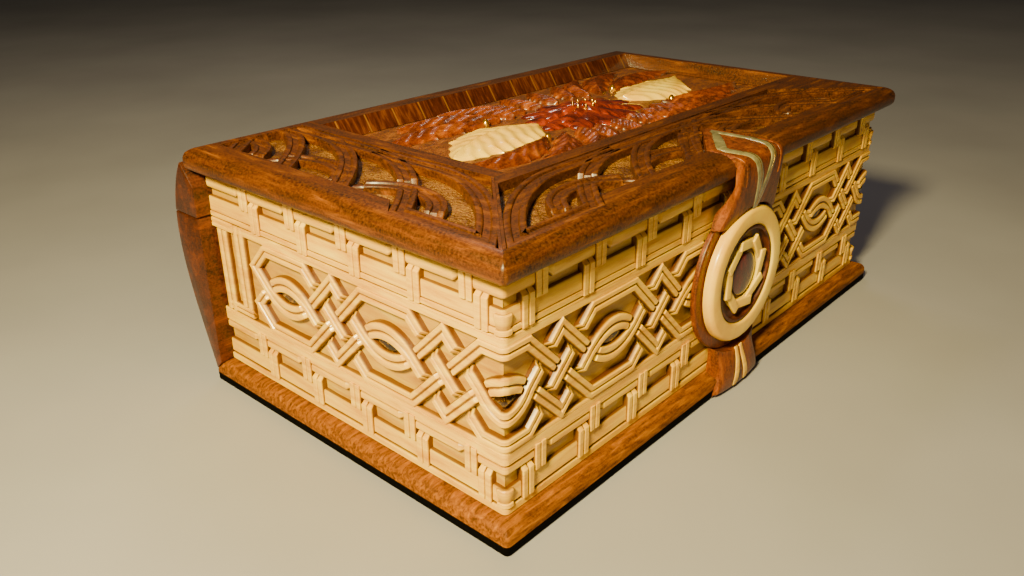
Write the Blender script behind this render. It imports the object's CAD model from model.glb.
# Dresses the carved book box: finer carving, turned and rounded pieces, and the finishes.
# Lengths are in millimetres in the CAD frame until a mesh becomes a piece, which is in metres.

import math

import bmesh
import bpy
from mathutils import Matrix, Vector, noise


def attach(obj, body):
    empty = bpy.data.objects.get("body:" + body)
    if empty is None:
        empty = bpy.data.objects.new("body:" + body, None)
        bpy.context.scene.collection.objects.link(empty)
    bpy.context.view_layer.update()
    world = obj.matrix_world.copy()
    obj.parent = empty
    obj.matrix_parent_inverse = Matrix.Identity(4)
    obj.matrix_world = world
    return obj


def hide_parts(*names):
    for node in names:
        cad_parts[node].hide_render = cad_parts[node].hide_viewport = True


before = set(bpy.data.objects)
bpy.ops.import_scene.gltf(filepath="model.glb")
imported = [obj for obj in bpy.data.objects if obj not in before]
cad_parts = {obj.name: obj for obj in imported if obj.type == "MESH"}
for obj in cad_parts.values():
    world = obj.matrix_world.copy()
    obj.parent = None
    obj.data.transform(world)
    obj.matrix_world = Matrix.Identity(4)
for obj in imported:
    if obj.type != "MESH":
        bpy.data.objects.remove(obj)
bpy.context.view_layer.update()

# A millimetre in metres, and a length in millimetres that reaches past everything
MM = 0.001
FAR = 300

# The book
LENGTH, DEPTH, HEIGHT, BOARD = 240, 142, 86.4, 7.9
SEAM, HALF_SEAM, GLUE = 62.5, 0.2, 0.2
OVERHANG = 4.4
WALL = 8
COVER_BOTTOM = 78.5
WALL_FOOT, BASE_TOP = BOARD + GLUE, SEAM - HALF_SEAM
LID_FOOT, WALL_TOP = SEAM + HALF_SEAM, COVER_BOTTOM - GLUE
PAGE_X, PAGE_FRONT = LENGTH / 2 - OVERHANG, -DEPTH / 2 + OVERHANG
PAGE_REACH = -2 * PAGE_FRONT

# The carving of the page block
CARVE_DEPTH = 2.4
TOP_RISE, LOW_RISE = 2.3, 0.5
EYE_Z, EYE_PITCH, EYE_REACH, EYE_SAG = 44.1, 47.2, 10.5, 4.4
CORNER_SAG, CORNER_WIDTH = 5.7, 4.9
KNOT_HALF = 13.6
STRAND_WIDTH, EYE_WIDTH = 4.3, 5.8
HEAD_SHIFT, FORE_SHIFT = -1.4, 1.7
HEAD_END_ROOM, FORE_END_ROOM = 38, 20
KNOT_FOOT, KNOT_TOP = 29.4, 59.4
BAND_FOOT, BAND_TOP = 10.5, 26
WEAVE_PITCH = 24.6
BASE_RAILS = [(WALL_FOOT, BAND_FOOT), (23.9, 28.9), (KNOT_TOP, BASE_TOP)]
LID_RAILS = [(LID_FOOT, 64.4), (76.9, WALL_TOP)]

# The cover
HEAD_BORDER, FORE_BORDER = 48, 43.5
SPINE_RIM, TAIL_RIM, RIM_SLOPE = 12, 9, 4
PANEL_TOP = 80.5
FIELD_DEPTH = 3
TONGUE_Y, TONGUE_SLOPE, TONGUE_HALF = -51.2, 0.67, 14

# The clasp, from its plate out to the face of the ring
CLASP_Z = 42.7
PLATE_BACK, PLATE_FRONT = -66.8, -68.6
RING_BACK, RING_FRONT = -68.9, -72.6


# Meshes

def new_object(name, mesh, body, slot, materials, replaces=(), angle=40):
    """A piece from a mesh in millimetres, smooth but for edges sharper than the angle."""
    mesh.transform(Matrix.Scale(MM, 4))
    for material in materials:
        mesh.materials.append(material)
    mesh.polygons.foreach_set("use_smooth", [True] * len(mesh.polygons))
    mesh.set_sharp_from_angle(angle=math.radians(angle))
    piece = bpy.data.objects.new(name, mesh)
    bpy.context.scene.collection.objects.link(piece)
    if body:
        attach(piece, body)
        if replaces:
            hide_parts(*replaces)
    return piece


def bridge(bm, a, b):
    """Quads between two closed rows of vertices."""
    for k in range(len(a)):
        n = (k + 1) % len(a)
        bm.faces.new((a[k], a[n], b[n], b[k]))


def add_grid(bm, rows):
    """A solid through equal closed rows of points, with the first and the last row as its ends."""
    made = [[bm.verts.new(point) for point in row] for row in rows]
    for a, b in zip(made, made[1:]):
        bridge(bm, a, b)
    bm.faces.new(made[0][::-1])
    bm.faces.new(made[-1])
    return made


def add_prism(bm, outline, low, high, axis=2):
    """A prism from an outline in the other two axes, between two heights along an axis."""
    add_grid(bm, [[(*p[:axis], height, *p[axis:]) for p in outline] for height in (low, high)])


def add_turned(bm, profile, sides=128):
    """A body turned on the clasp's axis from a closed profile of (radius, y) points."""
    rows = []
    for i in range(sides):
        angle = 2 * math.pi * i / sides
        rows.append([bm.verts.new((r * math.cos(angle), y, CLASP_Z + r * math.sin(angle)))
                     for r, y in profile])
    for a, b in zip(rows, rows[1:] + rows[:1]):
        bridge(bm, a, b)


def score(bm, point, normal, cut=False):
    """Adds edges where a plane meets the faces; cut also takes away the normal's side."""
    return bmesh.ops.bisect_plane(bm, geom=bm.verts[:] + bm.edges[:] + bm.faces[:], plane_co=point,
                                  plane_no=normal, dist=1e-5, clear_outer=cut)


def slice_off(bm, point, normal):
    """Cuts off what lies on the normal's side of a plane and closes the cut."""
    made = score(bm, point, normal, True)["geom_cut"]
    edges = [item for item in made if isinstance(item, bmesh.types.BMEdge)]
    if edges:
        bmesh.ops.edgenet_fill(bm, edges=edges)


def boolean(mesh, cutter, operation="DIFFERENCE"):
    """The mesh with the cutter's volume taken away or kept, by an exact boolean."""
    base = bpy.data.objects.new("base", mesh)
    tool = bpy.data.objects.new("tool", cutter)
    for item in (base, tool):
        bpy.context.scene.collection.objects.link(item)
    modifier = base.modifiers.new("cut", "BOOLEAN")
    modifier.operation = operation
    modifier.solver = "EXACT"
    modifier.object = tool
    bpy.context.view_layer.update()
    result = bpy.data.meshes.new_from_object(base.evaluated_get(bpy.context.evaluated_depsgraph_get()))
    for item in (base, tool):
        bpy.data.objects.remove(item)
    return result


def as_mesh(build):
    """A mesh from a function that fills a bmesh."""
    bm = bmesh.new()
    build(bm)
    bmesh.ops.recalc_face_normals(bm, faces=bm.faces)
    mesh = bpy.data.meshes.new("part")
    bm.to_mesh(mesh)
    bm.free()
    return mesh


def reshape(mesh, change):
    """The same mesh, after a function has changed it as a bmesh."""
    bm = bmesh.new()
    bm.from_mesh(mesh)
    change(bm)
    bm.to_mesh(mesh)
    bm.free()
    return mesh


def join(bm, other):
    """Adds another bmesh to bm and frees it."""
    between = bpy.data.meshes.new("between")
    other.to_mesh(between)
    other.free()
    bm.from_mesh(between)
    bpy.data.meshes.remove(between)


def prism_mesh(outline, low, high, axis=2):
    return as_mesh(lambda bm: add_prism(bm, outline, low, high, axis))


# Materials

def srgb(code):
    values = [int(code[i:i + 2], 16) / 255 for i in (0, 2, 4)]
    return [v / 12.92 if v <= 0.04045 else ((v + 0.055) / 1.055) ** 2.4 for v in values] + [1]


class Nodes:
    """Small helpers round one material's node tree."""

    def __init__(self, name):
        self.material = bpy.data.materials.new(name)
        self.material.use_nodes = True
        self.tree = self.material.node_tree
        self.shader = self.tree.nodes["Principled BSDF"]

    def feed(self, socket, value):
        """Links a socket to another, or sets it to a value or a colour code."""
        if isinstance(value, bpy.types.NodeSocket):
            self.tree.links.new(value, socket)
        elif value is not None:
            socket.default_value = srgb(value) if isinstance(value, str) else value

    def add(self, kind, inputs=None, **settings):
        node = self.tree.nodes.new(kind)
        for key, value in settings.items():
            setattr(node, key, value)
        for key, value in (inputs or {}).items():
            self.feed(node.inputs[key], value)
        return node

    def place(self, scale=(1, 1, 1)):
        where = self.add("ShaderNodeTexCoord").outputs["Object"]
        return self.add("ShaderNodeMapping", {"Vector": where, "Scale": scale}).outputs["Vector"]

    def noise(self, vector, scale, detail=4, rough=0.55, distortion=0.0):
        return self.add("ShaderNodeTexNoise", {
            "Vector": vector, "Scale": scale, "Detail": detail, "Roughness": rough,
            "Distortion": distortion,
        }).outputs["Fac"]

    def ramp(self, value, stops):
        node = self.add("ShaderNodeValToRGB", {"Fac": value})
        elements = node.color_ramp.elements
        while len(elements) < len(stops):
            elements.new(0.5)
        for element, (position, colour) in zip(elements, stops):
            element.position = position
            element.color = srgb(colour) if isinstance(colour, str) else [colour] * 3 + [1]
        return node.outputs["Color"]

    def math(self, operation, a, b=0.0, clamp=False):
        node = self.add("ShaderNodeMath", {0: a, 1: b}, operation=operation, use_clamp=clamp)
        return node.outputs[0]

    def mix(self, factor, a, b, blend="MIX"):
        # Sockets 6, 7 and 2 are the colour ones of a mix node
        node = self.add("ShaderNodeMix", data_type="RGBA", blend_type=blend)
        for key, value in ((0, factor), (6, a), (7, b)):
            self.feed(node.inputs[key], value)
        return node.outputs[2]

    def bump(self, height, strength, distance, normal=None):
        inputs = {"Height": height, "Strength": strength, "Distance": distance, "Normal": normal}
        return self.add("ShaderNodeBump", inputs).outputs["Normal"]

    def end(self, colour, rough, normal=None, coat=0.0, coat_rough=0.1, metal=None, **values):
        """Feeds the shader; values holds further constants by the names of their sockets."""
        values.update({"Base Color": colour, "Roughness": rough, "Normal": normal, "Metallic": metal})
        if coat:
            values.update({"Coat Weight": coat, "Coat Roughness": coat_rough})
        for key, value in values.items():
            self.feed(self.shader.inputs[key], value)
        return self.material


def wood(name, colours, grain=(1, 8, 8), scale=60, rough=(0.25, 0.4), coat=0.08, coat_rough=0.15,
         speckle=0.45, relief=0.12, worn=None, shine=0.4):
    """Polished wood: broad bands of colour along the grain, fine fibres and small pores.

    The grain's small number is along the fibres. Where worn is given, as (strength, colour), the
    hollows of the carving are darkened by the rise that each vertex carries.
    """
    n = Nodes(name)
    broad = n.noise(n.place(grain), scale, 3, 0.5, 0.6)
    fibres = n.noise(n.place([v * (1 if v == min(grain) else 6) for v in grain]), scale * 3, 5, 0.65)
    stipple = n.noise(n.place(), 1400, 2, 0.6)
    value = n.math("ADD", n.math("MULTIPLY", broad, 0.62), n.math("MULTIPLY", fibres, 0.38))
    colour = n.ramp(value, list(zip((0.34, 0.45, 0.55, 0.67), colours)))
    dots = n.ramp(stipple, [(0.35, 0.0), (0.7, 1.0)])
    colour = n.mix(n.math("MULTIPLY", dots, speckle), colour, colours[3])
    if worn:
        height = n.add("ShaderNodeAttribute", attribute_name="rise").outputs["Fac"]
        shade = n.ramp(height, [(0.0, 1.0), (0.3, 0.9), (0.55, 0.3), (0.8, 0.0)])
        colour = n.mix(n.math("MULTIPLY", shade, worn[0]), colour, worn[1], "MULTIPLY")
    roughness = n.math("ADD", rough[0], n.math("MULTIPLY", fibres, 2 * (rough[1] - rough[0])), True)
    normal = n.bump(fibres, relief, 0.0006, n.bump(stipple, relief, 0.0002))
    return n.end(colour, roughness, normal, coat, coat_rough, **{"Specular IOR Level": shine})


walnut_x = wood("walnut along", ("110500", "2b1000", "471e00", "7e4708"), (1, 7, 7))
walnut_y = wood("walnut across", ("120500", "2d1000", "4b1f00", "864a06"), (7, 1, 7))
walnut_z = wood("walnut upright", ("140500", "331000", "561e00", "984c04"), (7, 7, 1))
walnut_strap = wood("walnut strap", ("180600", "431700", "6e2d00", "9e5607"), (5, 5, 1), 90)
walnut_spine = wood("walnut spine", ("0d0300", "220b00", "3d1600", "703402"), (1, 5, 5), 45,
                    (0.22, 0.38), 0.2)
walnut_board = wood("walnut board", ("2c1200", "552800", "7c4300", "a46200"), (1, 7, 7), 110,
                    (0.45, 0.6), 0, 0.2, 0.3, 0.08, shine=0.15)
black_foot = wood("black foot", ("010000", "020100", "030201", "040201"), (1, 4, 4), 120,
                  (0.85, 0.95), 0, 0.2, 0.1, 0.05, shine=0.05)
dark_walnut = wood("dark walnut", ("160601", "2e1004", "4d2009", "6f3710"), (1, 4, 4), 120, (0.3, 0.5))
maple_page = wood("maple carved", ("cc8808", "e3a412", "f1b81e", "fad038"), (1, 1, 9), 45,
                  (0.26, 0.4), 0.3, 0.12, 0.15, 0.1, (1.0, "64492a"))
maple_plain = wood("maple plain", ("c88410", "dfa01c", "edb52c", "f7cc50"), (1, 1, 9), 45,
                   (0.35, 0.5), 0.2, 0.3, 0.15)
ivory = wood("ivory wood", ("e4a414", "f2b822", "f9ca34", "fede50"), (1, 1, 1), 30,
             (0.22, 0.35), 0.4, 0.12, 0.1, 0.05)
red_wood = wood("red wood", ("0c0100", "260300", "480a02", "681404"), (3, 1, 1), 90,
                (0.12, 0.25), 0.9, 0.04, 0.2)
glossy_red = wood("polished red wood", ("160402", "451205", "8a2a0a", "b5480f"), (2, 1, 1), 120,
                  (0.12, 0.2), 1.0, 0.03, 0.2, 0.05)
panel_wood = wood("panel wood", ("200900", "431802", "6b3105", "9f5f11"), (1, 2, 2), 160,
                  (0.35, 0.55), 0.1, 0.2, 0.5, 0.5)
spray_wood = wood("spray wood", ("1a0500", "401200", "6e2a02", "a4560c"), (1, 3, 3), 90,
                  (0.2, 0.35), 0.4, 0.1, 0.3)


def punched():
    """Walnut ground beaten all over with a small punch, with flecks of gold."""
    n = Nodes("punched ground")
    place = n.place()
    cells = n.add("ShaderNodeTexVoronoi", {"Vector": place, "Scale": 900.0, "Randomness": 0.9})
    fine = n.noise(place, 2600, 3, 0.6)
    patches = n.noise(place, 110, 3, 0.6)
    dents = n.ramp(cells.outputs["Distance"], [(0.0, 0.0), (0.6, 1.0)])
    glint = n.math("MULTIPLY", n.ramp(fine, [(0.5, 0.0), (0.62, 1.0)]),
                   n.ramp(patches, [(0.42, 0.15), (0.62, 1.0)]))
    ground = n.ramp(patches, [(0.3, "3e1c05"), (0.7, "7c4812")])
    colour = n.mix(n.math("MULTIPLY", glint, 0.85), ground, "e8b04c")
    normal = n.bump(dents, 0.8, 0.0006, n.bump(fine, 0.5, 0.0003))
    return n.end(colour, 0.35, normal, 0.35, 0.2, n.math("MULTIPLY", glint, 0.5))


def gem_stone():
    """Dark amber with flakes of gold under the polish."""
    n = Nodes("amber")
    flakes = n.noise(n.place(), 700, 4, 0.7, 1.0)
    cloud = n.noise(n.place(), 160, 3, 0.5)
    gold = n.ramp(flakes, [(0.55, 0.0), (0.65, 1.0)])
    colour = n.mix(gold, n.ramp(cloud, [(0.35, "0c0400"), (0.6, "2e1800"), (0.75, "6a4000")]), "c08a10")
    return n.end(colour, 0.2, n.bump(flakes, 0.2, 0.0003), 0.5, 0.03, n.math("MULTIPLY", gold, 0.6))


def pearl_resin():
    """Grey-green resin with drifting gold dust."""
    n = Nodes("resin")
    cloud = n.noise(n.place(), 220, 4, 0.6, 0.8)
    dust = n.noise(n.place(), 2400, 2, 0.7)
    specks = n.ramp(dust, [(0.62, 0.0), (0.7, 1.0)])
    colour = n.mix(specks, n.ramp(cloud, [(0.3, "5c5638"), (0.5, "857c56"), (0.7, "a89c74")]), "d8b45a")
    return n.end(colour, 0.28, n.bump(dust, 0.15, 0.0002), 0.8, 0.08, n.math("MULTIPLY", specks, 0.7))


def brushed_brass():
    """Brass with brush lines and some tarnish."""
    n = Nodes("brass")
    lines = n.noise(n.place((1, 1, 14)), 260, 4, 0.6)
    tarnish = n.noise(n.place(), 180, 4, 0.6)
    colour = n.mix(n.ramp(tarnish, [(0.45, 0.0), (0.75, 1.0)]), "c79a48", "7d5a26")
    rough = n.math("ADD", 0.2, n.math("MULTIPLY", lines, 0.25))
    return n.end(colour, rough, n.bump(lines, 0.12, 0.0002), metal=1.0)


def gilding():
    """Gold leaf, rubbed through to brown in places."""
    n = Nodes("gilt")
    rubbed = n.noise(n.place(), 500, 4, 0.6)
    colour = n.ramp(rubbed, [(0.35, "6a3a08"), (0.5, "d79a2c"), (0.7, "f0c458")])
    return n.end(colour, 0.22, n.bump(rubbed, 0.15, 0.0002), metal=0.9)


def wool_felt():
    """Dark red felt with loose fibres."""
    n = Nodes("felt")
    fibres = n.noise(n.place(), 1800, 6, 0.75, 1.5)
    drift = n.noise(n.place(), 60, 3, 0.5)
    value = n.math("ADD", n.math("MULTIPLY", fibres, 0.6), n.math("MULTIPLY", drift, 0.4))
    colour = n.ramp(value, [(0.35, "250807"), (0.5, "43110e"), (0.65, "64201a")])
    return n.end(colour, 0.95, n.bump(fibres, 0.6, 0.0005), **{"Sheen Weight": 0.5})


def tiled_rim():
    """Walnut tiles with thin pale joints between them."""
    n = Nodes("tiled rim")
    tile_length = 0.0133
    x = n.add("ShaderNodeSeparateXYZ", {"Vector": n.place()}).outputs["X"]
    along = n.math("DIVIDE", x, tile_length)
    saw = n.math("FRACT", n.math("ADD", along, 40.5))
    joint = n.ramp(n.math("ABSOLUTE", n.math("SUBTRACT", saw, 0.5)),
                   [(0.0, 1.0), (0.022, 1.0), (0.032, 0.0)])
    tile = n.math("FLOOR", n.math("ADD", along, 40.0))
    tone = n.add("ShaderNodeTexWhiteNoise", {"W": tile}, noise_dimensions="1D").outputs["Value"]
    grain = n.noise(n.place((6, 1, 1)), 120, 5, 0.6, 0.4)
    mixed = n.math("ADD", n.math("MULTIPLY", grain, 0.88), n.math("MULTIPLY", tone, 0.12))
    colour = n.ramp(mixed, [(0.3, "2e1002"), (0.5, "4c1f04"), (0.7, "7a400c")])
    colour = n.mix(n.math("MULTIPLY", joint, 0.45), colour, "a8702c")
    return n.end(colour, 0.3, n.bump(grain, 0.1, 0.0004), 0.6, 0.12)


def pale_floor():
    """Matt studio paper, drifting a little in tone."""
    n = Nodes("pale floor")
    colour = n.ramp(n.noise(n.place(), 6, 4, 0.5), [(0.3, "8c8892"), (0.7, "9a96a0")])
    return n.end(colour, 0.6, n.bump(n.noise(n.place(), 900, 3, 0.5), 0.05, 0.0003))


punched_ground = punched()
amber = gem_stone()
resin = pearl_resin()
brass = brushed_brass()
gilt = gilding()
felt = wool_felt()
tiles = tiled_rim()


# Profiles of the carved strands, as (place across from -1 to 1, fall under the top) points, where
# None is the foot, sunk in the ground

def mirrored(half):
    """A profile from its left half."""
    return half + [(-across, fall) for across, fall in reversed(half)]


DOUBLE_RIDGE = mirrored([(-1, None), (-1, -1.0), (-0.8, -0.08), (-0.73, 0), (-0.26, -0.02),
                         (-0.2, -0.09), (-0.05, -0.6)])
FLAT_PAIR = [(-1, None), (-1, -0.8), (-0.9, -0.1), (-0.82, 0), (-0.2, -0.02), (-0.13, -0.1),
             (-0.04, -0.55), (0.05, -0.55), (0.14, -0.1), (0.2, -0.02), (0.82, 0), (0.9, -0.1),
             (1, -0.8), (1, None)]
SLAB = [(-1, None), (-1, -0.5), (-0.94, -0.12), (-0.84, 0), (0.8, -0.1), (0.93, -0.25), (1, -0.6),
        (1, None)]
BEAD = [(-1, None), (-1, -0.8), (-0.86, -0.3), (-0.55, -0.04), (0, 0), (0.55, -0.04), (0.86, -0.3),
        (1, -0.8), (1, None)]
CHANNEL = mirrored([(-1, None), (-1, -0.3), (-0.93, -0.05), (-0.85, 0), (-0.46, 0), (-0.38, -0.1),
                    (-0.3, -0.55)])
RAIL = [(-1, None), (-1, -0.5), (-0.93, -0.12), (-0.84, 0), (-0.7, 0), (-0.67, -0.18), (-0.64, 0),
        (0.5, 0), (0.55, -0.28), (0.6, 0), (0.86, -0.03), (0.95, -0.15), (1, -0.4), (1, None)]
LEDGE = [(-1, None), (-1, -0.15), (-0.8, 0), (0.7, 0), (1, -0.35), (1, None)]
WEDGE = [(-1, None), (-1, -0.7), (-0.92, -0.45), (-0.2, -0.28), (0.4, -0.08), (0.7, 0),
         (0.85, -0.02), (1, -0.4), (1, None)]
GLINT = [(-1, None), (-1, 0), (0, 0.06), (1, 0), (1, None)]
INLAY = mirrored([(-1, None), (-1, -0.2), (-0.9, -0.05), (-0.75, 0)])
SINK = -0.4

# How clean the wood is, from 0 in a hollow to 1: on the ground, on a strand, for each part of the
# full height, and down a groove
GROUND_CLEAN, STRAND_CLEAN, RISE_CLEAN, GROOVE_DIRT = 0.5, 0.45, 0.5, 1.1


# Carved strands, in the flat plane of a face: distance u, height v and rise over the ground

def sweep(bm, points, profile=DOUBLE_RIDGE):
    """A band along (u, v, rise, width) points, with mitred corners and closed ends."""
    rows = []
    for i, (u, v, rise, width) in enumerate(points):
        before = points[max(i - 1, 0)]
        after = points[min(i + 1, len(points) - 1)]
        into = Vector((u - before[0], v - before[1]))
        out = Vector((after[0] - u, after[1] - v))
        into = (into if into.length > 1e-6 else out).normalized()
        out = (out if out.length > 1e-6 else into).normalized()
        along = (into + out).normalized()
        side = Vector((-along.y, along.x)) * (width / 2) / max(along.dot(into), 0.35)
        rows.append([(u + side.x * s, v + side.y * s, SINK if t is None else max(rise + t, SINK / 2))
                     for s, t in profile])
    made = add_grid(bm, rows)
    layer = bm.verts.layers.float.get("rise")
    if layer is not None:
        for row, (_, _, rise, _) in zip(made, points):
            clean = STRAND_CLEAN + RISE_CLEAN * rise / CARVE_DEPTH
            for vertex, (_, t) in zip(row, profile):
                vertex[layer] = 0 if t is None else min(max(clean + GROOVE_DIRT * t, 0), 1)


def woven(path, unders, top=TOP_RISE, low=LOW_RISE, reach=2.35, ease=1.35):
    """Rises along a path of (u, v, width): low for a short way about each point in unders."""
    at = [0.0]
    for (u0, v0, _), (u1, v1, _) in zip(path, path[1:]):
        at.append(at[-1] + math.hypot(u1 - u0, v1 - v0))
    marks = []
    for cu, cv in unders:
        best = min(range(len(path)), key=lambda i: math.hypot(path[i][0] - cu, path[i][1] - cv))
        marks.append(at[best])
    stops = sorted(set([round(s, 4) for s in at] + [
        round(m + d, 4) for m in marks for d in (-reach - ease, -reach, reach, reach + ease)
        if 0 < m + d < at[-1]
    ]))
    points = []
    k = 0
    for s in stops:
        while k + 2 < len(at) and at[k + 1] < s - 1e-6:
            k += 1
        span = at[k + 1] - at[k]
        t = min(max((s - at[k]) / span if span > 1e-9 else 0.0, 0.0), 1.0)
        u, v, w = (path[k][j] + (path[k + 1][j] - path[k][j]) * t for j in range(3))
        gap = min([abs(s - m) for m in marks], default=FAR)
        f = min(max((gap - reach) / ease, 0.0), 1.0)
        points.append((u, v, low + (top - low) * f, w))
    return points


def spaced(first, pitch, room):
    """Places a pitch apart, from the first as far as there is room."""
    return [first + pitch * i for i in range(int((room - first) / pitch) + 1)]


HEAD_EYES = spaced(HEAD_SHIFT, EYE_PITCH, PAGE_REACH - HEAD_END_ROOM)
FORE_EYES = spaced(0, EYE_PITCH, PAGE_X - FORE_END_ROOM)


def waving(eyes, side):
    """Round the eyes on one side, and up to a peak between them; with the places where it dips."""
    half = EYE_PITCH / 2
    peak = half - EYE_REACH
    path, unders = [], []
    steps = 12
    for index, eye in enumerate(eyes):
        # The eye on the front corner is deeper, and flatter at its foot
        corner = index == 0 and side > 0
        sag, wide, power = (CORNER_SAG, CORNER_WIDTH, 3) if corner else (EYE_SAG, EYE_WIDTH, 2)
        for i in range(steps + 1):
            t = -1 + 2 * i / steps
            swell = 1 - abs(t) ** power
            path.append((eye + EYE_REACH * t, EYE_Z - side * sag * swell,
                         STRAND_WIDTH + (wide - STRAND_WIDTH) * swell))
        unders.append((eye - side * EYE_REACH, EYE_Z))
        if index + 1 < len(eyes):
            for d in (-peak / 2, 0, peak / 2):
                path.append((eye + half + d, EYE_Z + side * (peak - abs(d)), STRAND_WIDTH))
            unders.append((eye + half - side * peak / 2, EYE_Z + side * peak / 2))
    return path, unders


def slanting(eyes, side):
    """Level past one eye and slanting across to the other side of the next."""
    half = EYE_PITCH / 2
    crossing = (half - EYE_REACH) / 2
    path = [(eyes[0] - back, EYE_Z + side * KNOT_HALF, STRAND_WIDTH) for back in (4, 0)]
    unders = []
    level = side
    for eye in eyes[1:]:
        middle = eye - half
        for d in (-KNOT_HALF, -crossing, 0, crossing, KNOT_HALF):
            path.append((middle + d, EYE_Z - level * d, STRAND_WIDTH))
        for d in (0,) if level > 0 else (-crossing, crossing):
            unders.append((middle + d, EYE_Z - level * d))
        level = -level
    return path, unders, level


def open_knot(bm, eyes):
    """A knot whose strands run on to the middle of the fore edge."""
    for side in (1, -1):
        sweep(bm, woven(*waving(eyes, side)))
        path, unders, level = slanting(eyes, side)
        path.append((eyes[-1], EYE_Z + level * KNOT_HALF, STRAND_WIDTH))
        sweep(bm, woven(path, unders))


def closed_knot(bm, eyes):
    """A knot whose strands turn back past the last eye."""
    last = eyes[-1]
    half = EYE_PITCH / 2
    tip = half - (half - EYE_REACH) / 2
    for side in (1, -1):
        path, unders = waving(eyes, side)
        back, more, _ = slanting(eyes, side if len(eyes) % 2 == 1 else -side)
        path += [(last + tip, EYE_Z + side * (half - tip), STRAND_WIDTH),
                 (last + half - KNOT_HALF, EYE_Z + side * KNOT_HALF, STRAND_WIDTH)]
        sweep(bm, woven(path, unders) + woven(back, more)[::-1])


def weave_band(bm, foot, top, reach, bar_width, slab_rise):
    """Basket weave: bars hanging from the top over one level strand, bars rising over another."""
    shift = FORE_SHIFT if reach < PAGE_REACH else 0
    slab_z, bar_z = foot + slab_rise, top - 3.75
    hanging = spaced(13.1 + shift, WEAVE_PITCH, reach - 4.4)
    rising = spaced(8 + shift, WEAVE_PITCH, reach - 5)
    sweep(bm, [(-4, slab_z, 1.5, 5.3), (reach, slab_z, 1.5, 5.3)], SLAB)
    # The upper and lower halves of the first strand, rounded off by the front corner
    sweep(bm, [(-6, foot + 3.6, 2.3, 4.4), (3.2, foot + 3.6, 2.3, 4.4), (4.0, foot + 3.5, 1.7, 3.8)], WEDGE)
    sweep(bm, [(-6, foot + 0.7, 2.2, 1.6), (3.4, foot + 0.7, 2.2, 1.6), (4.0, foot + 0.7, 1.4, 1.3)], LEDGE)
    for start, end in zip([-4] + [at + 3.3 for at in hanging], hanging + [reach]):
        if end - start > 3:
            sweep(bm, [(start, bar_z + 0.4, 0.6, 1.2), (start + 1.9, bar_z, 1.6, bar_width),
                       (end, bar_z, 1.6, bar_width)], BEAD)
    for u in hanging:
        sweep(bm, [(u, top - 9.6, 1.0, 4.4), (u, top - 8.9, TOP_RISE, 4.7),
                   (u, top - 0.7, TOP_RISE, 4.7)], FLAT_PAIR)
    for u in rising:
        sweep(bm, [(u, foot, TOP_RISE, 4.9), (u, foot + 8.9, TOP_RISE, 4.9),
                   (u, foot + 10.3, 0.9, 4.5)], FLAT_PAIR)


def end_frame(bm, low, high):
    """Two posts by the spine, joined at the top and the foot."""
    post, rung, rise = 6, 3.5, 1.9
    outer = PAGE_REACH - 5
    inner = outer - 10
    for width, *points in (
        (post, (outer, low), (outer, high - rung)),
        (post, (inner, low + rung), (inner, high)),
        (rung, (inner + post / 2, high - rung / 2), (PAGE_REACH, high - rung / 2)),
        (rung, (inner - post / 2, low + rung / 2), (outer, low + rung / 2)),
    ):
        sweep(bm, [(u, z, rise, width) for u, z in points])


def ground_rise(u, z):
    """The uneven ground between the strands."""
    return (0.2 * noise.noise(Vector((u * 0.16, z * 0.2, 3.1)))
            + 0.08 * noise.noise(Vector((u * 0.7, z * 0.7, 9.4))))


def add_ground(bm, reach, z0, z1, step=1.2, sunk=-1.2):
    """The ground as a thin slab, from the front corner to the face's end."""
    columns = max(int((reach - CARVE_DEPTH) / step), 1)
    lines = max(int((z1 - z0) / step), 1)
    rows = []
    for u in [0, 0.8, 1.6] + [CARVE_DEPTH + (reach - CARVE_DEPTH) * i / columns
                              for i in range(columns + 1)]:
        heights = [z0 + (z1 - z0) * k / lines for k in range(lines + 1)]
        rows.append([(u, z0, sunk)] + [(u, z, max(ground_rise(u, z), 0.3 * (1 - u / 4))) for z in heights]
                    + [(u, z1, sunk)])
    layer = bm.verts.layers.float["rise"]
    for row in add_grid(bm, rows):
        for vertex in row[1:-1]:
            vertex[layer] = GROUND_CLEAN


def on_face(which, u, z, h):
    """A point of a face's flat plane, carried to the box and round the front corner."""
    turn = max(1 - u / CARVE_DEPTH, 0) * math.pi / 4
    along = CARVE_DEPTH - h * math.sin(turn) if u <= CARVE_DEPTH else u
    out = CARVE_DEPTH - h * math.cos(turn)
    if which in ("head", "tail"):
        # The head face has the two directions swapped about the mitre
        along, out = out, along
    x, y = -PAGE_X + along, PAGE_FRONT + out
    return (-x if which in ("tail", "fore right") else x, y, z)


def carved_face(bm, which, reach, z0, z1, rails, draw):
    """One carved face in the flat plane, cut to its outline and carried round the front corner."""
    flat = bmesh.new()
    flat.verts.layers.float.new("rise")
    for low, high in rails:
        sweep(flat, [(u, (low + high) / 2, 1.75, high - low) for u in (-4, reach + 1)], RAIL)
    draw(flat, reach)
    slice_off(flat, (0, 0, 0), (-1, 0, 0))
    slice_off(flat, (reach, 0, 0), (1, 0, 0))
    slice_off(flat, (0, z0, 0), (0, -1, 0))
    slice_off(flat, (0, z1, 0), (0, 1, 0))
    for i in range(1, 5):
        # Edges for the turn round the corner
        score(flat, (CARVE_DEPTH * i / 4, 0, 0), (1, 0, 0))
    add_ground(flat, reach, z0, z1)
    for vertex in flat.verts:
        vertex.co = on_face(which, *vertex.co)
    join(bm, flat)


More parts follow.
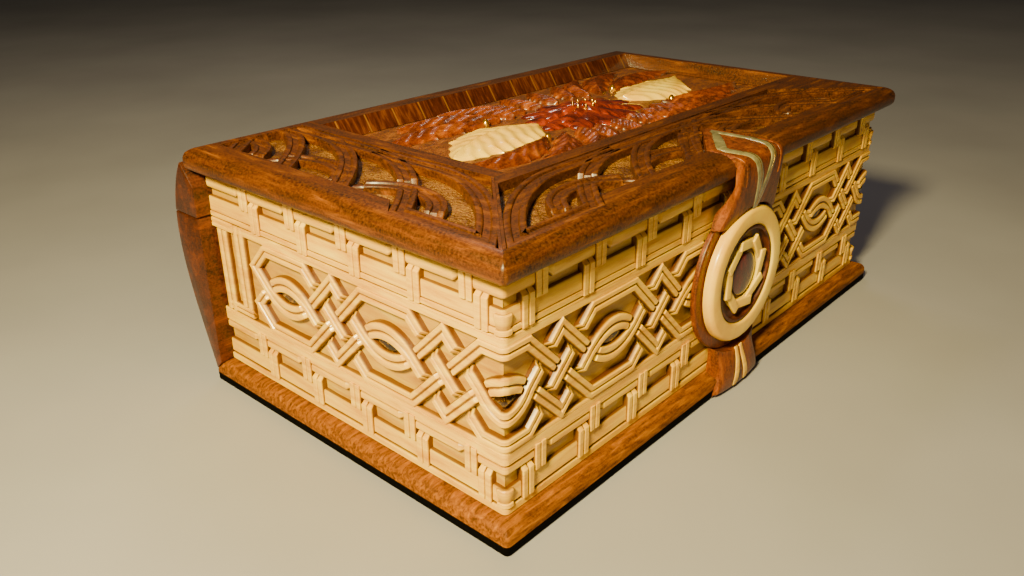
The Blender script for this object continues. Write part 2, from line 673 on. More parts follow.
def wall_outline(which):
    """The plan of a wall under its carving, with its mitred ends."""
    under, m = CARVE_DEPTH + 0.5, 0.02
    face_x, inside_x = PAGE_X - under, PAGE_X - WALL
    face_y, inside_y = PAGE_FRONT + under, PAGE_FRONT + WALL
    if which == "fore_edge":
        return [(-face_x + m, face_y), (face_x - m, face_y), (inside_x - m, inside_y),
                (-inside_x + m, inside_y)]
    outline = [(-face_x, face_y + m), (-inside_x, inside_y + m), (-inside_x, -PAGE_FRONT),
               (-face_x, -PAGE_FRONT)]
    return outline if which == "head" else [(-x, y) for x, y in reversed(outline)]


def page_wall(body, which, faces, reach, z0, z1, rails, draw):
    """A wall of the page block, with its carved faces."""
    def build(bm):
        layer = bm.verts.layers.float.new("rise")
        add_prism(bm, wall_outline(which), z0, z1)
        # The compartment's side of the wall is clean wood
        for vertex in bm.verts:
            vertex[layer] = 1
        for face in faces:
            carved_face(bm, face, reach, z0, z1, rails, draw)
    name = f"{body}_{which}_wall"
    new_object(name + "_carved", as_mesh(build), body, "maple", [maple_page], (name,), 24)


def lower_carving(bm, reach):
    weave_band(bm, BAND_FOOT, BAND_TOP, reach, 3.0, 3.2)
    if reach > PAGE_X:
        closed_knot(bm, HEAD_EYES)
        end_frame(bm, KNOT_FOOT, KNOT_TOP + 2.9)
    else:
        open_knot(bm, FORE_EYES)


def upper_carving(bm, reach):
    weave_band(bm, LID_FOOT, WALL_TOP, reach, 4.3, 4.4)


for which, faces, reach in (("head", ("head",), PAGE_REACH), ("tail", ("tail",), PAGE_REACH),
                            ("fore_edge", ("fore left", "fore right"), PAGE_X)):
    page_wall("base", which, faces, reach, WALL_FOOT, BASE_TOP, BASE_RAILS, lower_carving)
    page_wall("lid", which, faces, reach, LID_FOOT, WALL_TOP, LID_RAILS, upper_carving)


# The gems: domed almonds in the eyes, and one round each front corner

GEM_LENGTH, GEM_HEIGHT = 11.6, 5.2
GEM_RINGS = ((1, -1.5), (1, 0.45), (0.9, 0.8), (0.7, 1.1), (0.4, 1.3), (0.02, 1.36))
CORNER_GEM_REACH = 6.2


def gem(name, place):
    """A gem whose points (along, up, out) are carried to the box by place."""
    def build(bm):
        rows = []
        for size, rise in GEM_RINGS:
            half, tall = GEM_LENGTH / 2 * size, GEM_HEIGHT / 2 * size
            rows.append([place(side * t * half, side * (1 - t * t) * tall, rise)
                         for side in (1, -1) for t in [-1 + 2 * i / 14 for i in range(14)]])
        add_grid(bm, rows)
    new_object(name + "_domed", as_mesh(build), "base", "amber", [amber], (name,), 50)


def corner_gem(hand, faces):
    """A gem bent round a front corner, half on each face."""
    def build(bm):
        for face in faces:
            rows = []
            for i in range(13):
                u = CORNER_GEM_REACH * i / 12
                top, low = EYE_Z + 1.2 - 0.33 * u, EYE_Z - 2.6 + 1.7 * (i / 12) ** 1.5
                swell = [(k / 8, 0.9 + 0.9 * math.sin(math.pi * k / 8) * (1 - i / 13)) for k in range(9)]
                rows.append([on_face(face, u, top + (low - top) * t, h)
                             for t, h in [(0, -0.6)] + swell + [(1, -0.6)]])
            add_grid(bm, rows)
    new_object(f"gem_{hand}_corner", as_mesh(build), "base", "amber", [amber], (), 50)


for side, end in ((-1, "head"), (1, "tail")):
    for index, eye in enumerate(HEAD_EYES[1:]):
        gem(f"gem_{end}_end_{index + 1}",
            lambda a, b, h: (side * (PAGE_X - CARVE_DEPTH + h), PAGE_FRONT + eye + a, EYE_Z + b))
    gem(f"gem_{end}_fore_1",
        lambda a, b, h: (side * (PAGE_X - FORE_EYES[1]) + a, PAGE_FRONT + CARVE_DEPTH - h, EYE_Z + b))
corner_gem("head", ("head", "fore left"))
corner_gem("tail", ("tail", "fore right"))


# The cover: four pieces from one rounded board, with a carved field sunk in two of them

def rounded_loop(inset, steps=6):
    """The plan of a board, inset, with its corners rounded."""
    half_x, half_y = LENGTH / 2 - inset, DEPTH / 2 - inset
    radius = max(1.6 - inset, 0.5)
    loop = []
    for cx, cy, start in ((-1, -1, 180), (1, -1, 270), (1, 1, 0), (-1, 1, 90)):
        for i in range(steps + 1):
            angle = math.radians(start + 90 * i / steps)
            loop.append((cx * (half_x - radius) + radius * math.cos(angle),
                         cy * (half_y - radius) + radius * math.sin(angle)))
    return loop


def rounded_board(z0, under, over, steps=8):
    """A board whose edge is eased by (inset, height) arcs under and over it."""
    def build(bm):
        rows = []
        for (wide, tall), sign in ((under, -1), (over, 1)):
            z = z0 + tall if sign < 0 else z0 + BOARD - tall
            for i in range(steps + 1):
                angle = math.pi / 2 * (i / steps if sign < 0 else 1 - i / steps)
                rows.append([(x, y, z + sign * tall * math.cos(angle))
                             for x, y in rounded_loop(wide * (1 - math.sin(angle)))])
        add_grid(bm, rows)
    return as_mesh(build)


RECESS_HEAD, RECESS_TAIL = -LENGTH / 2 + HEAD_BORDER, LENGTH / 2 - TAIL_RIM
RECESS_FORE, RECESS_SPINE = -DEPTH / 2 + FORE_BORDER, DEPTH / 2 - SPINE_RIM
SLOPE_FOOT = RECESS_SPINE - RIM_SLOPE

# Heights that a cutter starts and ends at, clear of the cover
CUT_LOW, CUT_HIGH = 60, 100

opening = boolean(
    prism_mesh([(RECESS_FORE, 70), (SLOPE_FOOT, 70), (SLOPE_FOOT, PANEL_TOP),
                (RECESS_SPINE, HEIGHT), (RECESS_SPINE, 95), (RECESS_FORE, 95)], RECESS_HEAD, FAR, 0),
    prism_mesh([(RECESS_HEAD - 1, 69), (RECESS_TAIL - 1, 69), (RECESS_TAIL - 1, PANEL_TOP),
                (RECESS_TAIL, HEIGHT), (RECESS_TAIL, 96), (RECESS_HEAD - 1, 96)], -FAR, FAR, 1),
    "INTERSECT")
rebate = prism_mesh([(RECESS_HEAD - 3, RECESS_FORE - 3), (RECESS_TAIL + 3, RECESS_FORE - 3),
                     (RECESS_TAIL + 3, RECESS_SPINE - 1), (RECESS_HEAD - 3, RECESS_SPINE - 1)],
                    CUT_LOW, PANEL_TOP)
cover_frame = boolean(boolean(rounded_board(COVER_BOTTOM, (2.4, 2.4), (6, 4.2)), opening), rebate)

# The plans of the four pieces, a hair apart along their joints
JOINT = 0.04
MITRE = LENGTH / 2 - DEPTH / 2
mitre_end = -LENGTH / 2 + FORE_BORDER
head_plan = [(-FAR, -FAR + MITRE + JOINT), (mitre_end, RECESS_FORE + JOINT),
             (RECESS_HEAD - JOINT, RECESS_FORE + JOINT), (RECESS_HEAD - JOINT, FAR), (-FAR, FAR)]
fore_plan = [(-FAR, -FAR + MITRE - JOINT), (-FAR, -FAR), (FAR, -FAR), (FAR, RECESS_FORE - JOINT),
             (mitre_end, RECESS_FORE - JOINT)]
spine_plan = [(RECESS_HEAD + JOINT, SLOPE_FOOT + JOINT), (FAR, SLOPE_FOOT + JOINT), (FAR, FAR),
              (RECESS_HEAD + JOINT, FAR)]
tail_plan = [(RECESS_TAIL - 2, RECESS_FORE + JOINT), (FAR, RECESS_FORE + JOINT),
             (FAR, SLOPE_FOOT - JOINT), (RECESS_TAIL - 2, SLOPE_FOOT - JOINT)]

# The sunk field and its arches, as distances along a border and in from the edge
FIELD_EDGE, FIELD_STEP = 4.2, 10.4
LIP = 5.5
FIELD_ENDS = {"head": 134, "fore": LENGTH / 2}
FIELD_WIDTHS = {"head": HEAD_BORDER - LIP, "fore": FORE_BORDER - LIP}
FLOOR = HEIGHT - FIELD_DEPTH
ARCH_BASE, ARCH_WIDTH = 6.9, 6
ARCH_CORNER = 12.4
ARCH_TURNS = (42.7, 69.7, 96.7, 123.7)
LOW_ARCH_MIDDLES = (53.5, 94.3, 135)
LOW_ARCH_HALF, LOW_ARCH_RISE = 18.5, 15.5
CORNER_CROSSING = (59.5, 20.5)


def field_plan(which):
    """The outline of a border's carved field, widened past the first arch."""
    width, end = FIELD_WIDTHS[which], FIELD_ENDS[which]
    step = ARCH_TURNS[0] + 1.6
    return [(FIELD_EDGE + 1.2, FIELD_EDGE), (step, FIELD_EDGE),
            (step + FIELD_STEP - FIELD_EDGE, FIELD_STEP), (end, FIELD_STEP), (end, width),
            (width + 1.2, width)]


def on_border(which, u, v):
    """A point of a border's flat plane, carried to the cover."""
    along, across = (v, u) if which == "head" else (u, v)
    return -LENGTH / 2 + along, -DEPTH / 2 + across


def high_arch(start, top, run=51):
    """A half arch that leaves the base line at a slant, levels out and runs on along the lip."""
    curve = [(start + run * t, ARCH_BASE + (top - ARCH_BASE) * (1 - (1 - t) ** 2))
             for t in [i / 24 for i in range(25)]]
    return curve + [(start + run + 13, top), (start + run + 27, top)]


def low_arch(middle):
    """A round arch that stands on the base line."""
    return [(middle - LOW_ARCH_HALF * math.cos(math.pi * i / 24),
             ARCH_BASE + LOW_ARCH_RISE * math.sin(math.pi * i / 24)) for i in range(25)]


def nearest(path, place):
    return min(path, key=lambda p: math.hypot(p[0] - place[0], p[1] - place[1]))


def tongue_line(x):
    """Where the slanting end of the strap's tongue lies on the cover."""
    return TONGUE_Y + TONGUE_SLOPE * x


def collar(hand):
    """The band that follows the slanting end of the tongue."""
    return [(LENGTH / 2 - abs(x), DEPTH / 2 + tongue_line(x) + 5)
            for x in ((-26, -14.4, 0) if hand > 0 else (0, 14, 21))]


def border_carving(which, hand):
    """The interlaced arches on a border, in its own flat plane and cut to its field."""
    flat = bmesh.new()
    end, width = FIELD_ENDS[which], FIELD_WIDTHS[which]
    top = FIELD_DEPTH - 0.2
    inner = width - ARCH_WIDTH / 2 - 0.3
    highs = [high_arch(turn, inner) for turn in ARCH_TURNS]
    lows = [low_arch(middle) for middle in LOW_ARCH_MIDDLES if middle - LOW_ARCH_HALF < end]
    paths = [(high_arch(ARCH_CORNER, inner)[::-1] + highs[0], [CORNER_CROSSING])]
    for turn, path in zip(ARCH_TURNS[1:], highs[1:]):
        if turn < end:
            paths.append(([(turn - 8, ARCH_BASE)] + path, []))
    if which == "fore":
        paths.append((collar(hand), []))
    paths += [(path, [path[1], path[21]]) for path in lows]
    for order, (path, unders) in enumerate(paths):
        # The tops differ in height, so that no two faces lie in one plane
        drop = 0.45 if path in lows else 0.05 * order
        strand = woven([(u, v, ARCH_WIDTH) for u, v in path], [nearest(path, place) for place in unders],
                       top - drop, 1.2, 3.6, 0.8)
        sweep(flat, strand, CHANNEL)
    slice_off(flat, (end, 0, 0), (1, 0, 0))
    slice_off(flat, (1.2, 0, 0), (-1, 1, 0))
    slice_off(flat, (0, width, 0), (0, 1, 0))
    if which == "fore":
        # Room for the strap's tongue
        side = (LENGTH / 2 - TONGUE_HALF - 0.4, 0, 0)
        behind = flat.copy()
        slice_off(flat, side, (1, 0, 0))
        slice_off(behind, side, (-1, 0, 0))
        slice_off(behind, (LENGTH / 2, DEPTH / 2 + tongue_line(0) + 0.4, 0), (hand * TONGUE_SLOPE, -1, 0))
        join(flat, behind)
    return flat


def cover_piece(plan):
    return boolean(cover_frame.copy(), prism_mesh(plan, CUT_LOW, CUT_HIGH), "INTERSECT")


def carved_border(name, mesh, which, hands, grain):
    """A border with its field sunk and the arches standing in it, once for each hand."""
    for hand in hands:
        outline = [on_border(which, u, v) for u, v in field_plan(which)]
        mesh = boolean(mesh, prism_mesh([(hand * x, y) for x, y in outline], FLOOR, CUT_HIGH))

    def carve(bm):
        for face in bm.faces:
            face.material_index = int(abs(face.calc_center_median().z - FLOOR) < 0.01)
        for hand in hands:
            flat = border_carving(which, hand)
            for vertex in flat.verts:
                u, v, h = vertex.co
                x, y = on_border(which, u, v)
                vertex.co = (hand * x, y, FLOOR + h)
            join(bm, flat)
        bmesh.ops.recalc_face_normals(bm, faces=bm.faces)

    new_object(name + "_carved", reshape(mesh, carve), "lid", "walnut", [grain, punched_ground], (name,), 35)


def plain_rim(name, plan, materials):
    """A rim in the first material, with its slope to the panel in the last."""
    mesh = cover_piece(plan)
    for polygon in mesh.polygons:
        slope = polygon.normal.y < -0.5 and polygon.center.z > PANEL_TOP
        polygon.material_index = len(materials) - 1 if slope else 0
    new_object(name + "_rounded", mesh, "lid", "walnut", materials, (name,), 35)


seat = TONGUE_HALF + 0.2
tongue_seat = prism_mesh([(-seat, -FAR), (seat, -FAR), (seat, -43.8), (10.6, -43.8),
                          (-seat, tongue_line(-seat) + 0.2)], HEIGHT - 3.6, FAR)
carved_border("head_border", cover_piece(head_plan), "head", (1,), walnut_y)
carved_border("fore_edge_border", boolean(cover_piece(fore_plan), tongue_seat), "fore", (1, -1), walnut_x)
plain_rim("spine_rim", spine_plan, [walnut_x, tiles])
plain_rim("tail_rim", tail_plan, [walnut_y])


# The bottom board and the spine

FOOT_LINE = 3.3
HINGE_X, HINGE_HALF = 70, 15.3
PIVOT_Y, KNUCKLE_ROOM = 82, 2.5


def blacken_foot(bm):
    """The second material under the board's foot line."""
    score(bm, (0, 0, FOOT_LINE), (0, 0, 1))
    for face in bm.faces:
        face.material_index = int(face.calc_center_median().z < FOOT_LINE)


def ease_ends(bm):
    """Eases the edges of the two end faces."""
    ends = [e for e in bm.edges if all(abs(abs(v.co.x) - LENGTH / 2) < 1e-4 for v in e.verts)
            and e.is_manifold and e.calc_face_angle(0) > 0.5]
    bmesh.ops.bevel(bm, geom=ends, offset=0.5, segments=2, profile=0.5, affect="EDGES", clamp_overlap=True)


def cubic(points, steps):
    """A curve from the first to the last of four points, drawn towards the two between them."""
    a, b, c, d = (Vector(p) for p in points)
    return [tuple(a * (1 - t) ** 3 + b * 3 * t * (1 - t) ** 2 + c * 3 * t * t * (1 - t) + d * t ** 3)
            for t in [i / steps for i in range(steps + 1)]]


behind_mitre = prism_mesh([(66.6, 8.9), (66.6, 7.9), (70.2, 4.1), (73.8, 4.1), (73.8, 8.9)],
                          -LENGTH, LENGTH, 0)
board = boolean(rounded_board(0, (0.8, 0.8), (3.6, 3.4)), behind_mitre)
new_object("bottom_board_rounded", reshape(board, blacken_foot), "base", "walnut",
           [walnut_board, black_foot], ("bottom_board",), 35)

spine_outline = [(66.8, 8.1)] + cubic([(70.2, 4.4), (77, 28), (90, 58), (73, 81)], 48) + [(66.8, 73.2)]
spine = prism_mesh(spine_outline, -LENGTH / 2, LENGTH / 2, 0)
for x in (-HINGE_X, HINGE_X):
    x0, x1 = x - HINGE_HALF, x + HINGE_HALF
    mortise = prism_mesh([(x0, 68.7), (x1, 68.7), (x1, 100), (x0, 100)], SEAM - 1.5, SEAM + 1.5)
    knuckle_room = prism_mesh([(PIVOT_Y + KNUCKLE_ROOM * math.cos(math.pi * i / 16),
                                SEAM + KNUCKLE_ROOM * math.sin(math.pi * i / 16))
                               for i in range(32)], x0, x1, 0)
    spine = boolean(boolean(spine, mortise), knuckle_room)
for body, low, high in (("base", 0, BASE_TOP), ("lid", LID_FOOT, CUT_HIGH)):
    part = boolean(spine.copy(), prism_mesh([(-FAR, 0), (FAR, 0), (FAR, FAR), (-FAR, FAR)], low, high),
                   "INTERSECT")
    new_object(f"{body}_spine_curved", reshape(part, ease_ends), body, "walnut", [walnut_spine],
               (f"{body}_spine",), 30)


# The clasp

def arc(centre_r, centre_y, radius, start, end, steps):
    """Part of a rounded corner in a turned profile, by angles from the outward direction."""
    angles = [math.radians(start + (end - start) * i / steps) for i in range(steps + 1)]
    return [(centre_r + radius * math.cos(a), centre_y - radius * math.sin(a)) for a in angles]


def plate_profile(inner):
    """The plate's section, from an inner radius to its rounded rim."""
    return ([(inner, PLATE_BACK), (27.5, PLATE_BACK)] + arc(26.9, PLATE_FRONT + 0.6, 0.6, 0, 90, 4)
            + [(inner, PLATE_FRONT)])


def lower_plate(bm):
    add_turned(bm, plate_profile(3.5))
    bmesh.ops.recalc_face_normals(bm, faces=bm.faces)
    slice_off(bm, (0, 0, BASE_TOP), (0, 0, 1))


def turned_piece(name, slot, material, profile, replaced):
    new_object(name, as_mesh(lambda bm: add_turned(bm, profile)), "clasp", slot, [material], (replaced,))


def unique(items):
    """The items once each, in their own order, which a set would change from run to run."""
    return list(dict.fromkeys(items))


def knot_bars(bm):
    """Eight bars in a ring, each turned so that its end lies over the next, on a flat ring."""
    for i in range(8):
        bar = bmesh.ops.create_cube(bm, size=1)["verts"]
        bmesh.ops.scale(bm, vec=(11.4, 1.3, 3.4), verts=bar)
        edges = unique(e for v in bar for e in v.link_edges)
        bevelled = bmesh.ops.bevel(bm, geom=edges, offset=0.45, segments=3, profile=0.6, affect="EDGES")
        bar = unique(v for f in bevelled["faces"] for v in f.verts)
        bmesh.ops.translate(bm, vec=(0, -0.72, 0), verts=bar)
        turn = (Matrix.Translation((0, -70.2, CLASP_Z)) @ Matrix.Rotation(2 * math.pi * i / 8, 4, "Y")
                @ Matrix.Translation((0, 0, 10.7)) @ Matrix.Rotation(0.07, 4, "Z")
                @ Matrix.Rotation(0.12, 4, "Y"))
        bmesh.ops.transform(bm, matrix=turn, verts=bar)
    add_turned(bm, [(9, -70.0), (12.4, -70.0), (12.4, -70.8), (9, -70.8)])


new_object("clasp_plate_rounded", as_mesh(lower_plate), "base", "walnut", [walnut_z], ("clasp_plate",))
turned_piece("clasp_ring_turned", "ivory", ivory,
             [(17.4, RING_BACK), (23.5, RING_BACK), (23.9, RING_BACK - 0.3)]
             + arc(21.9, RING_FRONT + 2.1, 2.1, 0, 78, 8)
             + [(18.6, RING_FRONT + 0.16), (18.05, RING_FRONT + 0.25), (17.6, RING_FRONT + 0.6),
                (17.4, RING_FRONT + 1.1)], "clasp_ring")
turned_piece("clasp_dish_turned", "walnut", dark_walnut,
             [(3.5, RING_BACK), (17.1, RING_BACK), (17.1, -71.7), (16.9, -71.85), (16.2, -71.85),
              (15.9, -71.6), (15.9, -70.5), (15.6, -70.0), (15.1, -69.9), (3.5, -69.9)], "clasp_dish")
turned_piece("clasp_hub_domed", "red_wood", red_wood,
             [(0.01, -70.1), (7.6, -70.1), (7.6, -70.6)]
             + [(7.6 * math.cos(math.radians(a)), -70.6 - 0.85 * math.sin(math.radians(a)))
                for a in range(10, 90, 10)] + [(0.01, -71.45)], "clasp_hub")
new_object("clasp_knot_bars", as_mesh(knot_bars), "clasp", "ivory", [ivory], ("clasp_knot",))


# The straps

def smooth_line(points, steps=10):
    """A rounded line that passes through all of the points."""
    ends = [points[0]] + list(points) + [points[-1]]
    result = []
    for p0, p1, p2, p3 in zip(ends, ends[1:], ends[2:], ends[3:]):
        a, b, c, d = (Vector(p) for p in (p0, p1, p2, p3))
        for i in range(steps):
            t = i / steps
            result.append(0.5 * (2 * b + (c - a) * t + (2 * a - 5 * b + 4 * c - d) * t * t
                                 + (3 * b - a - 3 * c + d) * t ** 3))
    return result + [Vector(points[-1])]


class Strap:
    """A strap lofted between a face line and a back line of (y, z) points, with a half width at each."""

    def __init__(self, stations, crown):
        rows = smooth_line([f + b + (w,) for f, b, w in stations])
        self.face = [Vector(r[:2]) for r in rows]
        self.back = [Vector(r[2:4]) for r in rows]
        self.half = [r[4] for r in rows]
        self.crown = crown
        self.normal = []
        for i in range(len(rows)):
            d = self.face[min(i + 1, len(rows) - 1)] - self.face[max(i - 1, 0)]
            self.normal.append(Vector((d.y, -d.x)).normalized())
        self.at = [0.0]
        for a, b in zip(self.face, self.face[1:]):
            self.at.append(self.at[-1] + (b - a).length)

    def edge_drop(self, side):
        """How far the face lies under its crown at a place across, from -1 to 1."""
        corner = max(abs(side) - 0.9, 0) / 0.1
        return self.crown * side * side + 0.5 * corner ** 2

    def build(self, bm, columns=16):
        sides = [math.sin(math.pi * (k / columns - 0.5)) for k in range(columns + 1)]
        rows = []
        for f, b, w, n in zip(self.face, self.back, self.half, self.normal):
            points = [(w * side, *(f - n * self.edge_drop(side))) for side in sides]
            rows.append([(-w, *b)] + points + [(w, *b)])
        add_grid(bm, rows)

    def place(self, s, x, rise):
        """A point over the face at a distance s along it and x across."""
        i = max(k for k in range(len(self.at)) if self.at[k] <= max(s, 0))
        i = min(i, len(self.at) - 2)
        t = (s - self.at[i]) / (self.at[i + 1] - self.at[i])
        f = self.face[i].lerp(self.face[i + 1], t)
        n = self.normal[i].lerp(self.normal[i + 1], t).normalized()
        w = self.half[i] + (self.half[i + 1] - self.half[i]) * t
        return (x, *(f + n * (rise - self.edge_drop(x / w))))

    def inlay(self, bm, path, profile=INLAY, rise=0.2):
        """A band on the face along (s, x, width) points, in steps of about a millimetre."""
        flat = bmesh.new()
        fine = []
        for a, b in zip(path, path[1:]):
            steps = max(int(math.hypot(b[0] - a[0], b[1] - a[1])), 1)
            for i in range(steps):
                s, x, width = (p + (q - p) * i / steps for p, q in zip(a, b))
                fine.append((s, x, rise, width))
        s, x, width = path[-1]
        sweep(flat, fine + [(s, x, rise, width)], profile)
        for v in flat.verts:
            v.co = self.place(*v.co)
        join(bm, flat)


def disc(radius, back, front):
    """A round cutter about the clasp's axis."""
    profile = [(0.01, back), (radius, back), (radius, front), (0.01, front)]
    return as_mesh(lambda bm: add_turned(bm, profile, 96))


upper = Strap([
    ((-44.0, 85.9), (-44.0, 83.0), 13.2), ((-45.2, 86.2), (-45.2, 83.0), 13.8),
    ((-50, 86.2), (-50, 83.0), 14), ((-60, 86.2), (-60, 83.0), 14), ((-67, 86.2), (-67, 83.0), 14),
    ((-70.2, 86.05), (-70.2, 83.0), 14), ((-72.4, 85.3), (-71.2, 83.0), 14),
    ((-73.8, 83.6), (-71.2, 82.4), 14), ((-74.15, 81.2), (-71.2, 80.6), 14),
    ((-74.0, 77.5), (-71.2, 76.5), 14.0), ((-73.2, 72.5), (-69.2, 71.5), 14.9),
    ((-72.1, 67.5), (-66.8, 67.5), 16.4), ((-70.8, 62.7), (-66.8, 62.7), 18.6)], 0.5)
lower = Strap([
    ((-70.9, 25.2), (-66.8, 25.2), 17.4), ((-71.1, 20.0), (-66.8, 20.0), 14.0),
    ((-71.9, 15.2), (-66.8, 15.2), 12.2), ((-73.1, 11.0), (-66.8, 8.1), 12.0),
    ((-73.9, 7.0), (-71.2, 7.0), 12.8), ((-74.0, 4.0), (-71.2, 4.0), 13.8),
    ((-73.6, 1.8), (-71.2, 1.8), 14.6), ((-72.8, 0.8), (-71.2, 0.8), 15)], 1.0)

# The loop let into the upper strap, as (distance along, place across) points
LOOP = [(5.0, 9.2), (18, 9.8), (25, 8.0), (30.5, 5.4), (36, 3.2), (upper.at[-1] - 5.2, 0.2),
        (36, -2.8), (30.5, -5.2), (25, -8.2), (21, -8.6), (18.4, -7.8)]
BEADING_FOOT = [(26, 11.9, 2.2), (31, 11.2, 2.0), (38, 10.4, 1.6)]


def upper_body(bm):
    upper.build(bm)
    slice_off(bm, (0, tongue_line(0), 0), (-TONGUE_SLOPE, 1, 0))


upper_mesh = boolean(as_mesh(upper_body), disc(25, -90, PLATE_FRONT))


def upper_strap(bm):
    """The strap with the part of the round plate that rides the lid."""
    add_turned(bm, plate_profile(0.01))
    slice_off(bm, (0, 0, LID_FOOT), (0, 0, -1))
    bm.from_mesh(upper_mesh)


def loop(bm):
    points = [(s, x, 3.4) for s, x in LOOP]
    (s0, x0), (s1, x1) = LOOP[0], LOOP[-1]
    start = ((s0 + s1) / 2, (x0 + x1) / 2, 4.2)
    upper.inlay(bm, [start] + points + [start])


def loop_edges(bm):
    upper.inlay(bm, [(s, x * 1.16, 0.5) for s, x in LOOP[1:6]], GLINT)
    upper.inlay(bm, [(s, x * 0.86, 0.45) for s, x in LOOP[5:9]], GLINT)


def beading(bm):
    """Two lines from one corner of the tongue, down the strap's two edges."""
    start = (2.0, 11.6, 2.0)
    far_foot = [(s, -x, width) for s, x, width in BEADING_FOOT[1:]]
    upper.inlay(bm, [start] + BEADING_FOOT)
    upper.inlay(bm, [start, (17.6, -11.9, 2.0), (26, -11.8, 2.2)] + far_foot)


def stripe(side):
    def build(bm):
        start, end = 9.6, lower.at[-1] - 1.4
        lower.inlay(bm, [(start, side * 1.5, 1.6), (start + 4, side * 1.75, 2.2),
                         (end - 1.4, side * 3.5, 3.0), (end, side * 3.7, 2.0)])
    return build


new_object("upper_strap_bent", as_mesh(upper_strap), "lid", "walnut", [walnut_strap], ("upper_strap",))
new_object("strap_loop_inlaid", as_mesh(loop), "lid", "resin", [resin], ("strap_loop",))
new_object("strap_loop_edges", as_mesh(loop_edges), "lid", "brass", [gilt])
new_object("strap_beading", as_mesh(beading), "lid", "walnut", [walnut_strap])
new_object("lower_strap_bent", boolean(as_mesh(lower.build), disc(27.8, -90, -60)), "base", "walnut",
           [walnut_strap], ("lower_strap",))
for side, name in ((-1, "strap_stripe_1"), (1, "strap_stripe_2")):
    new_object(name + "_inlaid", as_mesh(stripe(side)), "base", "maple", [maple_plain], (name,))


# The panel: a blossom, two feathered leaves, dark sprays and gold beads on a tooled ground

PANEL_X, PANEL_Y = 19.5, 13.75
PANEL_SINK = 0.3


def dome(bm, cx, cy, half_x, half_y, rise, lobes, depth, turn=0.0, rings=14, sides=96):
    """A lobed dome, with each lobe hollowed towards its edges."""
    rows = []
    for i in range(rings + 1):
        t = i / rings
        size = max(math.cos(t * math.pi / 2), 0.004)
        row = []
        for k in range(sides):
            angle = 2 * math.pi * k / sides
            lobe = abs(math.cos(lobes * angle / 2)) ** 0.7
            swell = 1 - depth * (1 - lobe) * (1 - 0.6 * t)
            x, y = half_x * size * swell * math.cos(angle), half_y * size * swell * math.sin(angle)
            height = rise * math.sin(t * math.pi / 2) * (1 - depth * 0.9 * (1 - lobe) * math.sin(t * math.pi))
            row.append((cx + x * math.cos(turn) - y * math.sin(turn),
                        cy + x * math.sin(turn) + y * math.cos(turn), PANEL_TOP - PANEL_SINK + height))
        rows.append(row)
    add_grid(bm, rows)


def leaf(bm, start, end, width, rise, lobes, bend=0.0):
    """A carved leaf from its foot to its tip, with a midrib, slanting veins and a lobed outline."""
    foot, along = Vector(start), Vector(end) - Vector(start)
    across = Vector((-along.y, along.x)).normalized()
    rows = []
    for i in range(61):
        t = i / 60
        envelope = math.sin(math.pi * t ** 0.8) ** 0.75
        notch = 1 - 0.2 * abs(math.sin(math.pi * lobes * t)) ** 0.5
        half = max(width / 2 * envelope * notch, 0.05)
        row = []
        for k in range(21):
            side = -1 + k / 10
            vein = math.cos(2 * math.pi * (lobes * t - 1.3 * abs(side)))
            height = rise * (1 - abs(side) ** 2.4) * (0.35 + 0.65 * envelope)
            height += 0.13 * rise * vein * (1 - side * side) * envelope * min(abs(side) * 4, 1)
            height += 0.22 * rise * math.exp(-(side * half / 0.7) ** 2)
            p = foot + along * t + across * (half * side + bend * math.sin(math.pi * t))
            row.append((p.x, p.y, PANEL_TOP + height))
        row += [(x, y, PANEL_TOP - PANEL_SINK) for x, y, _ in (row[-1], row[0])]
        rows.append(row)
    add_grid(bm, rows)


def blossom(bm):
    """Four rings of petals, each smaller and higher than the last."""
    rings = ((1, 2.5, 11), (0.78, 3.7, 9), (0.54, 4.6, 7), (0.28, 5.2, 5))
    for ring, (size, rise, lobes) in enumerate(rings):
        dome(bm, PANEL_X, PANEL_Y, 31 * size, 20 * size, rise, lobes, 0.3, 0.06 * ring)


def feather(side):
    """A pale leaf on one side of the blossom."""
    def build(bm):
        x = PANEL_X + 32.5 * side
        leaf(bm, (x - 3 * side, PANEL_Y + 2 * side), (x + 47 * side, PANEL_Y + 8 * side), 30, 3.0, 9, -4)
    return build


def sprays(bm):
    """Dark leaves curling from the blossom into the panel's corners, and short ones over and under it."""
    for side in (-1, 1):
        for hand in (-1, 1):
            for reach, drop, width, bend in ((92, 14, 13, 5), (68, 29, 13, 6), (44, 33, 12, 5)):
                x0, x1 = PANEL_X + side * (reach * 0.35 + 8), PANEL_X + side * min(reach, 88)
                leaf(bm, (x0, PANEL_Y + hand * 15), (x1, PANEL_Y + hand * (drop + 4)), width, 2.6, 8,
                     bend * side * hand)
    for hand in (-1, 1):
        for k in range(4):
            x = PANEL_X - 15 + 10 * k
            leaf(bm, (x, PANEL_Y + hand * 17), (x + (k - 1.5) * 7, PANEL_Y + hand * 37), 10, 2.2, 6)


def beads(bm):
    """Gold beads among the sprays, and a ring of them in the blossom's heart."""
    for side in (-1, 1):
        for hand in (-1, 1):
            dome(bm, PANEL_X + side * 40, PANEL_Y + hand * 15, 1.5, 1.5, 3.2, 1, 0, rings=6, sides=20)
    for k in range(9):
        angle = 2 * math.pi * k / 9
        dome(bm, PANEL_X + 5.6 * math.cos(angle), PANEL_Y + 3.8 * math.sin(angle), 0.9, 0.9, 5.4, 1, 0,
             rings=6, sides=16)


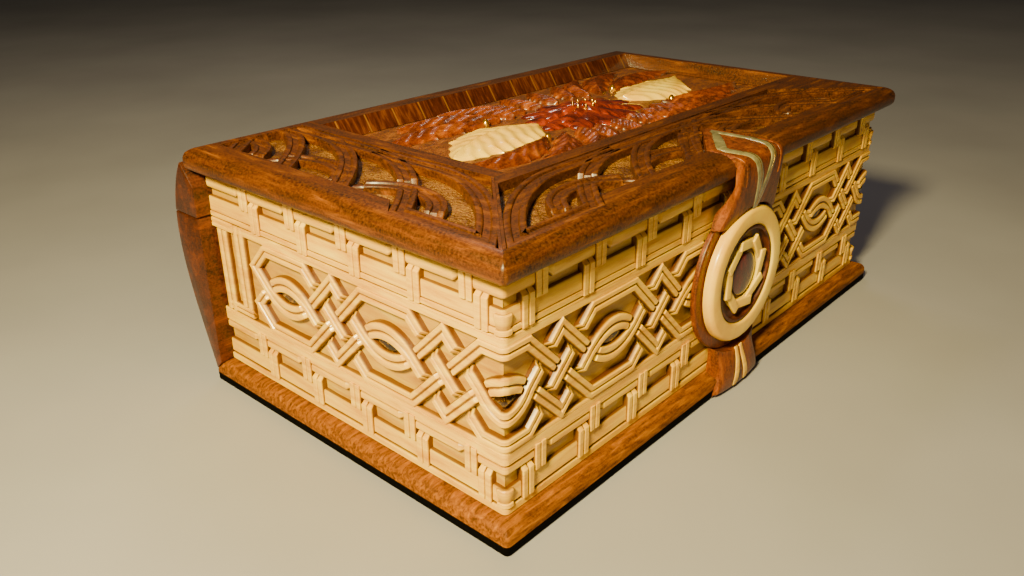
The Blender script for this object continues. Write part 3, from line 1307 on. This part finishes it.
for name, build, slot, material, replaced in (
    ("panel_boss_blossom", blossom, "red_wood", glossy_red, ("panel_boss",)),
    ("panel_leaf_head_veined", feather(-1), "ivory", ivory, ("panel_leaf_head",)),
    ("panel_leaf_tail_veined", feather(1), "ivory", ivory, ("panel_leaf_tail",)),
    ("panel_sprays", sprays, "dark_walnut", spray_wood, ()),
    ("panel_beads", beads, "brass", gilt, ()),
):
    new_object(name, as_mesh(build), "lid", slot, [material], replaced, 55)


# The CAD's own pieces: those that show and aren't named here are all brass

OWN_MATERIALS = {"cover_panel": panel_wood, "floor_felt": felt,
                 "base_back_wall": maple_plain, "lid_back_wall": maple_plain}
for name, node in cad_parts.items():
    for slot in node.material_slots:
        slot.material = OWN_MATERIALS.get(name, brass)


# Floor, light and camera

FLOOR_HALF, FLOOR_THICK = 3000, 6
floor_corners = [(x * FLOOR_HALF, y * FLOOR_HALF) for x, y in ((-1, -1), (1, -1), (1, 1), (-1, 1))]
floor = new_object("floor", prism_mesh(floor_corners, -FLOOR_THICK, 0), None, None, [pale_floor()])


def area_light(name, place, target, size, power, colour):
    """An area light at a place in metres, turned to a target."""
    data = bpy.data.lights.new(name, "AREA")
    data.shape = "RECTANGLE"
    data.size, data.size_y = size
    data.energy = power
    data.color = colour
    lamp = bpy.data.objects.new(name, data)
    lamp.location = place
    lamp.rotation_euler = (Vector(place) - Vector(target)).to_track_quat("Z", "Y").to_euler()
    bpy.context.scene.collection.objects.link(lamp)


area_light("key", (-0.43, -0.16, 0.37), (-0.08, -0.02, 0.05), (0.07, 0.07), 10.2, (1.0, 0.85, 0.36))
area_light("fill", (-0.25, -0.8, 0.3), (0, 0, 0.04), (0.3, 0.2), 0.5, (1.0, 0.8, 0.55))
area_light("back", (0.3, 0.45, 0.75), (0, 0, 0.08), (0.25, 0.05), 1.0, (1.0, 0.9, 0.75))

world = bpy.data.worlds.new("studio")
world.use_nodes = True
background = world.node_tree.nodes["Background"]
background.inputs["Color"].default_value = (0.95, 0.9, 0.85, 1)
background.inputs["Strength"].default_value = 0.03
bpy.context.scene.world = world

# The camera fitted to the photograph: where it stands, how it is turned and its focal length
CAMERA_PLACE = Vector((-251.547, -191.829, 162.236))
AZIMUTH, ELEVATION, ROLL = (math.radians(v) for v in (-47.9957, 24.8905, -0.4385))
FOCAL_PIXELS, FRAME_PIXELS, SENSOR = 868.33, 1024, 36
camera_data = bpy.data.cameras.new("camera")
camera_data.sensor_width = SENSOR
camera_data.lens = FOCAL_PIXELS * SENSOR / FRAME_PIXELS
camera_data.clip_start = 0.01
camera = bpy.data.objects.new("camera", camera_data)
back = Vector((math.sin(AZIMUTH) * math.cos(ELEVATION), -math.cos(AZIMUTH) * math.cos(ELEVATION),
               math.sin(ELEVATION)))
right = Vector((0, 0, 1)).cross(back).normalized()
up = back.cross(right)
turned_right = math.cos(ROLL) * right + math.sin(ROLL) * up
turned_up = math.cos(ROLL) * up - math.sin(ROLL) * right
camera.matrix_world = (Matrix.Translation(CAMERA_PLACE * MM)
                       @ Matrix((turned_right, turned_up, back)).transposed().to_4x4())
bpy.context.scene.collection.objects.link(camera)
bpy.context.scene.camera = camera
